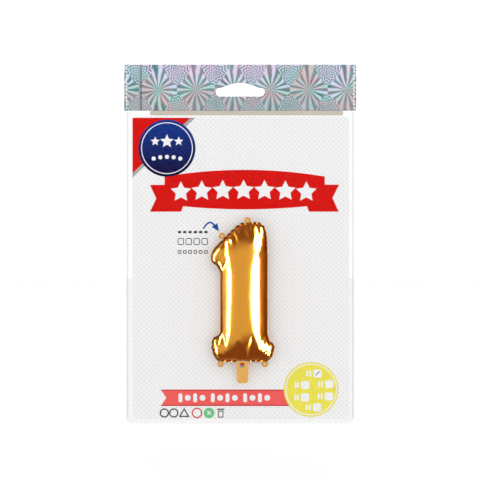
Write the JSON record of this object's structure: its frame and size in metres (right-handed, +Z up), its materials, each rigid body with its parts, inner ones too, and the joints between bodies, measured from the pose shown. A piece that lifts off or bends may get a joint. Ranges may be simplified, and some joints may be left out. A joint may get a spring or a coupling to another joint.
{
  "type": "foil number balloon in a hanging header bag",
  "caption": "Small gold foil balloon shaped like the number 1, lying on its printed card in a clear bag with a holographic hanging header.",
  "frame": {"origin": "top of the hang slot, where the peg bears, midway through the header's thickness", "axes": "+Z up, -Y is the front that the shopper sees, +X to the right seen from the front"},
  "size_m": [0.15, 0.0168, 0.2318],
  "materials": {
    "gold_foil": "mirror-bright metallised polyester foil, crimped along the seam",
    "tail_foil": "satin gold foil, flat",
    "hologram_film": "iridescent embossed film with a starburst pattern",
    "clear_film": "clear glossy polypropylene film",
    "seal_tape": "satin adhesive tape",
    "card": "coated white card with a faint halftone dot print",
    "valve_film": "translucent polyethylene film",
    "valve_label": "printed paper dot, semi-gloss"
  },
  "bodies": {
    "header": {"header_front_film": "hologram_film", "header_back_film": "hologram_film", "header_weld_tongue": "clear_film"},
    "bag": {"bag_back_film": "clear_film", "bag_front_film": "clear_film", "insert_card": "card", "balloon_front_film": "gold_foil", "balloon_back_film": "gold_foil"},
    "lip": {"mouth_lip": "clear_film", "seal_tape": "seal_tape"},
    "tail": {"tail_front_film": "tail_foil", "tail_back_film": "tail_foil", "valve_front_film": "valve_film", "valve_back_film": "valve_film", "valve_label": "valve_label"},
    "tab_top": {"hanging_tab_top": "gold_foil"},
    "tab_flag": {"hanging_tab_flag": "gold_foil"},
    "tab_base_left": {"hanging_tab_base_left": "gold_foil"},
    "tab_base_right": {"hanging_tab_base_right": "gold_foil"}
  },
  "joints": [
    {"name": "header_bend", "type": "hinge", "parent": "header", "child": "bag", "pos_m": [0, 0, -0.01815], "axis": [1, 0, 0], "range_deg": [-60, 60]},
    {"name": "lip_peel", "type": "hinge", "parent": "bag", "child": "lip", "pos_m": [0, -0.00155, -0.02135], "axis": [1, 0, 0], "range_deg": [0, 165]},
    {"name": "tail_flex", "type": "hinge", "parent": "bag", "child": "tail", "pos_m": [0.0015, -0.0066, -0.1796], "axis": [1, 0, 0], "range_deg": [-15, 15], "stiffness_Nm_per_rad": 0.0001},
    {"name": "tab_top_flex", "type": "hinge", "parent": "bag", "child": "tab_top", "pos_m": [0.0047, -0.0066, -0.0905], "axis": [1, 0, 0], "range_deg": [-40, 40], "stiffness_Nm_per_rad": 0.00001},
    {"name": "tab_flag_flex", "type": "hinge", "parent": "bag", "child": "tab_flag", "pos_m": [-0.0107, -0.0066, -0.1001], "axis": [0.7314, 0, 0.682], "range_deg": [-40, 40], "stiffness_Nm_per_rad": 0.00001},
    {"name": "tab_base_left_flex", "type": "hinge", "parent": "bag", "child": "tab_base_left", "pos_m": [-0.0125, -0.0066, -0.1796], "axis": [1, 0, 0], "range_deg": [-40, 40], "stiffness_Nm_per_rad": 0.00001},
    {"name": "tab_base_right_flex", "type": "hinge", "parent": "bag", "child": "tab_base_right", "pos_m": [0.016, -0.0066, -0.1796], "axis": [1, 0, 0], "range_deg": [-40, 40], "stiffness_Nm_per_rad": 0.00001}
  ]
}
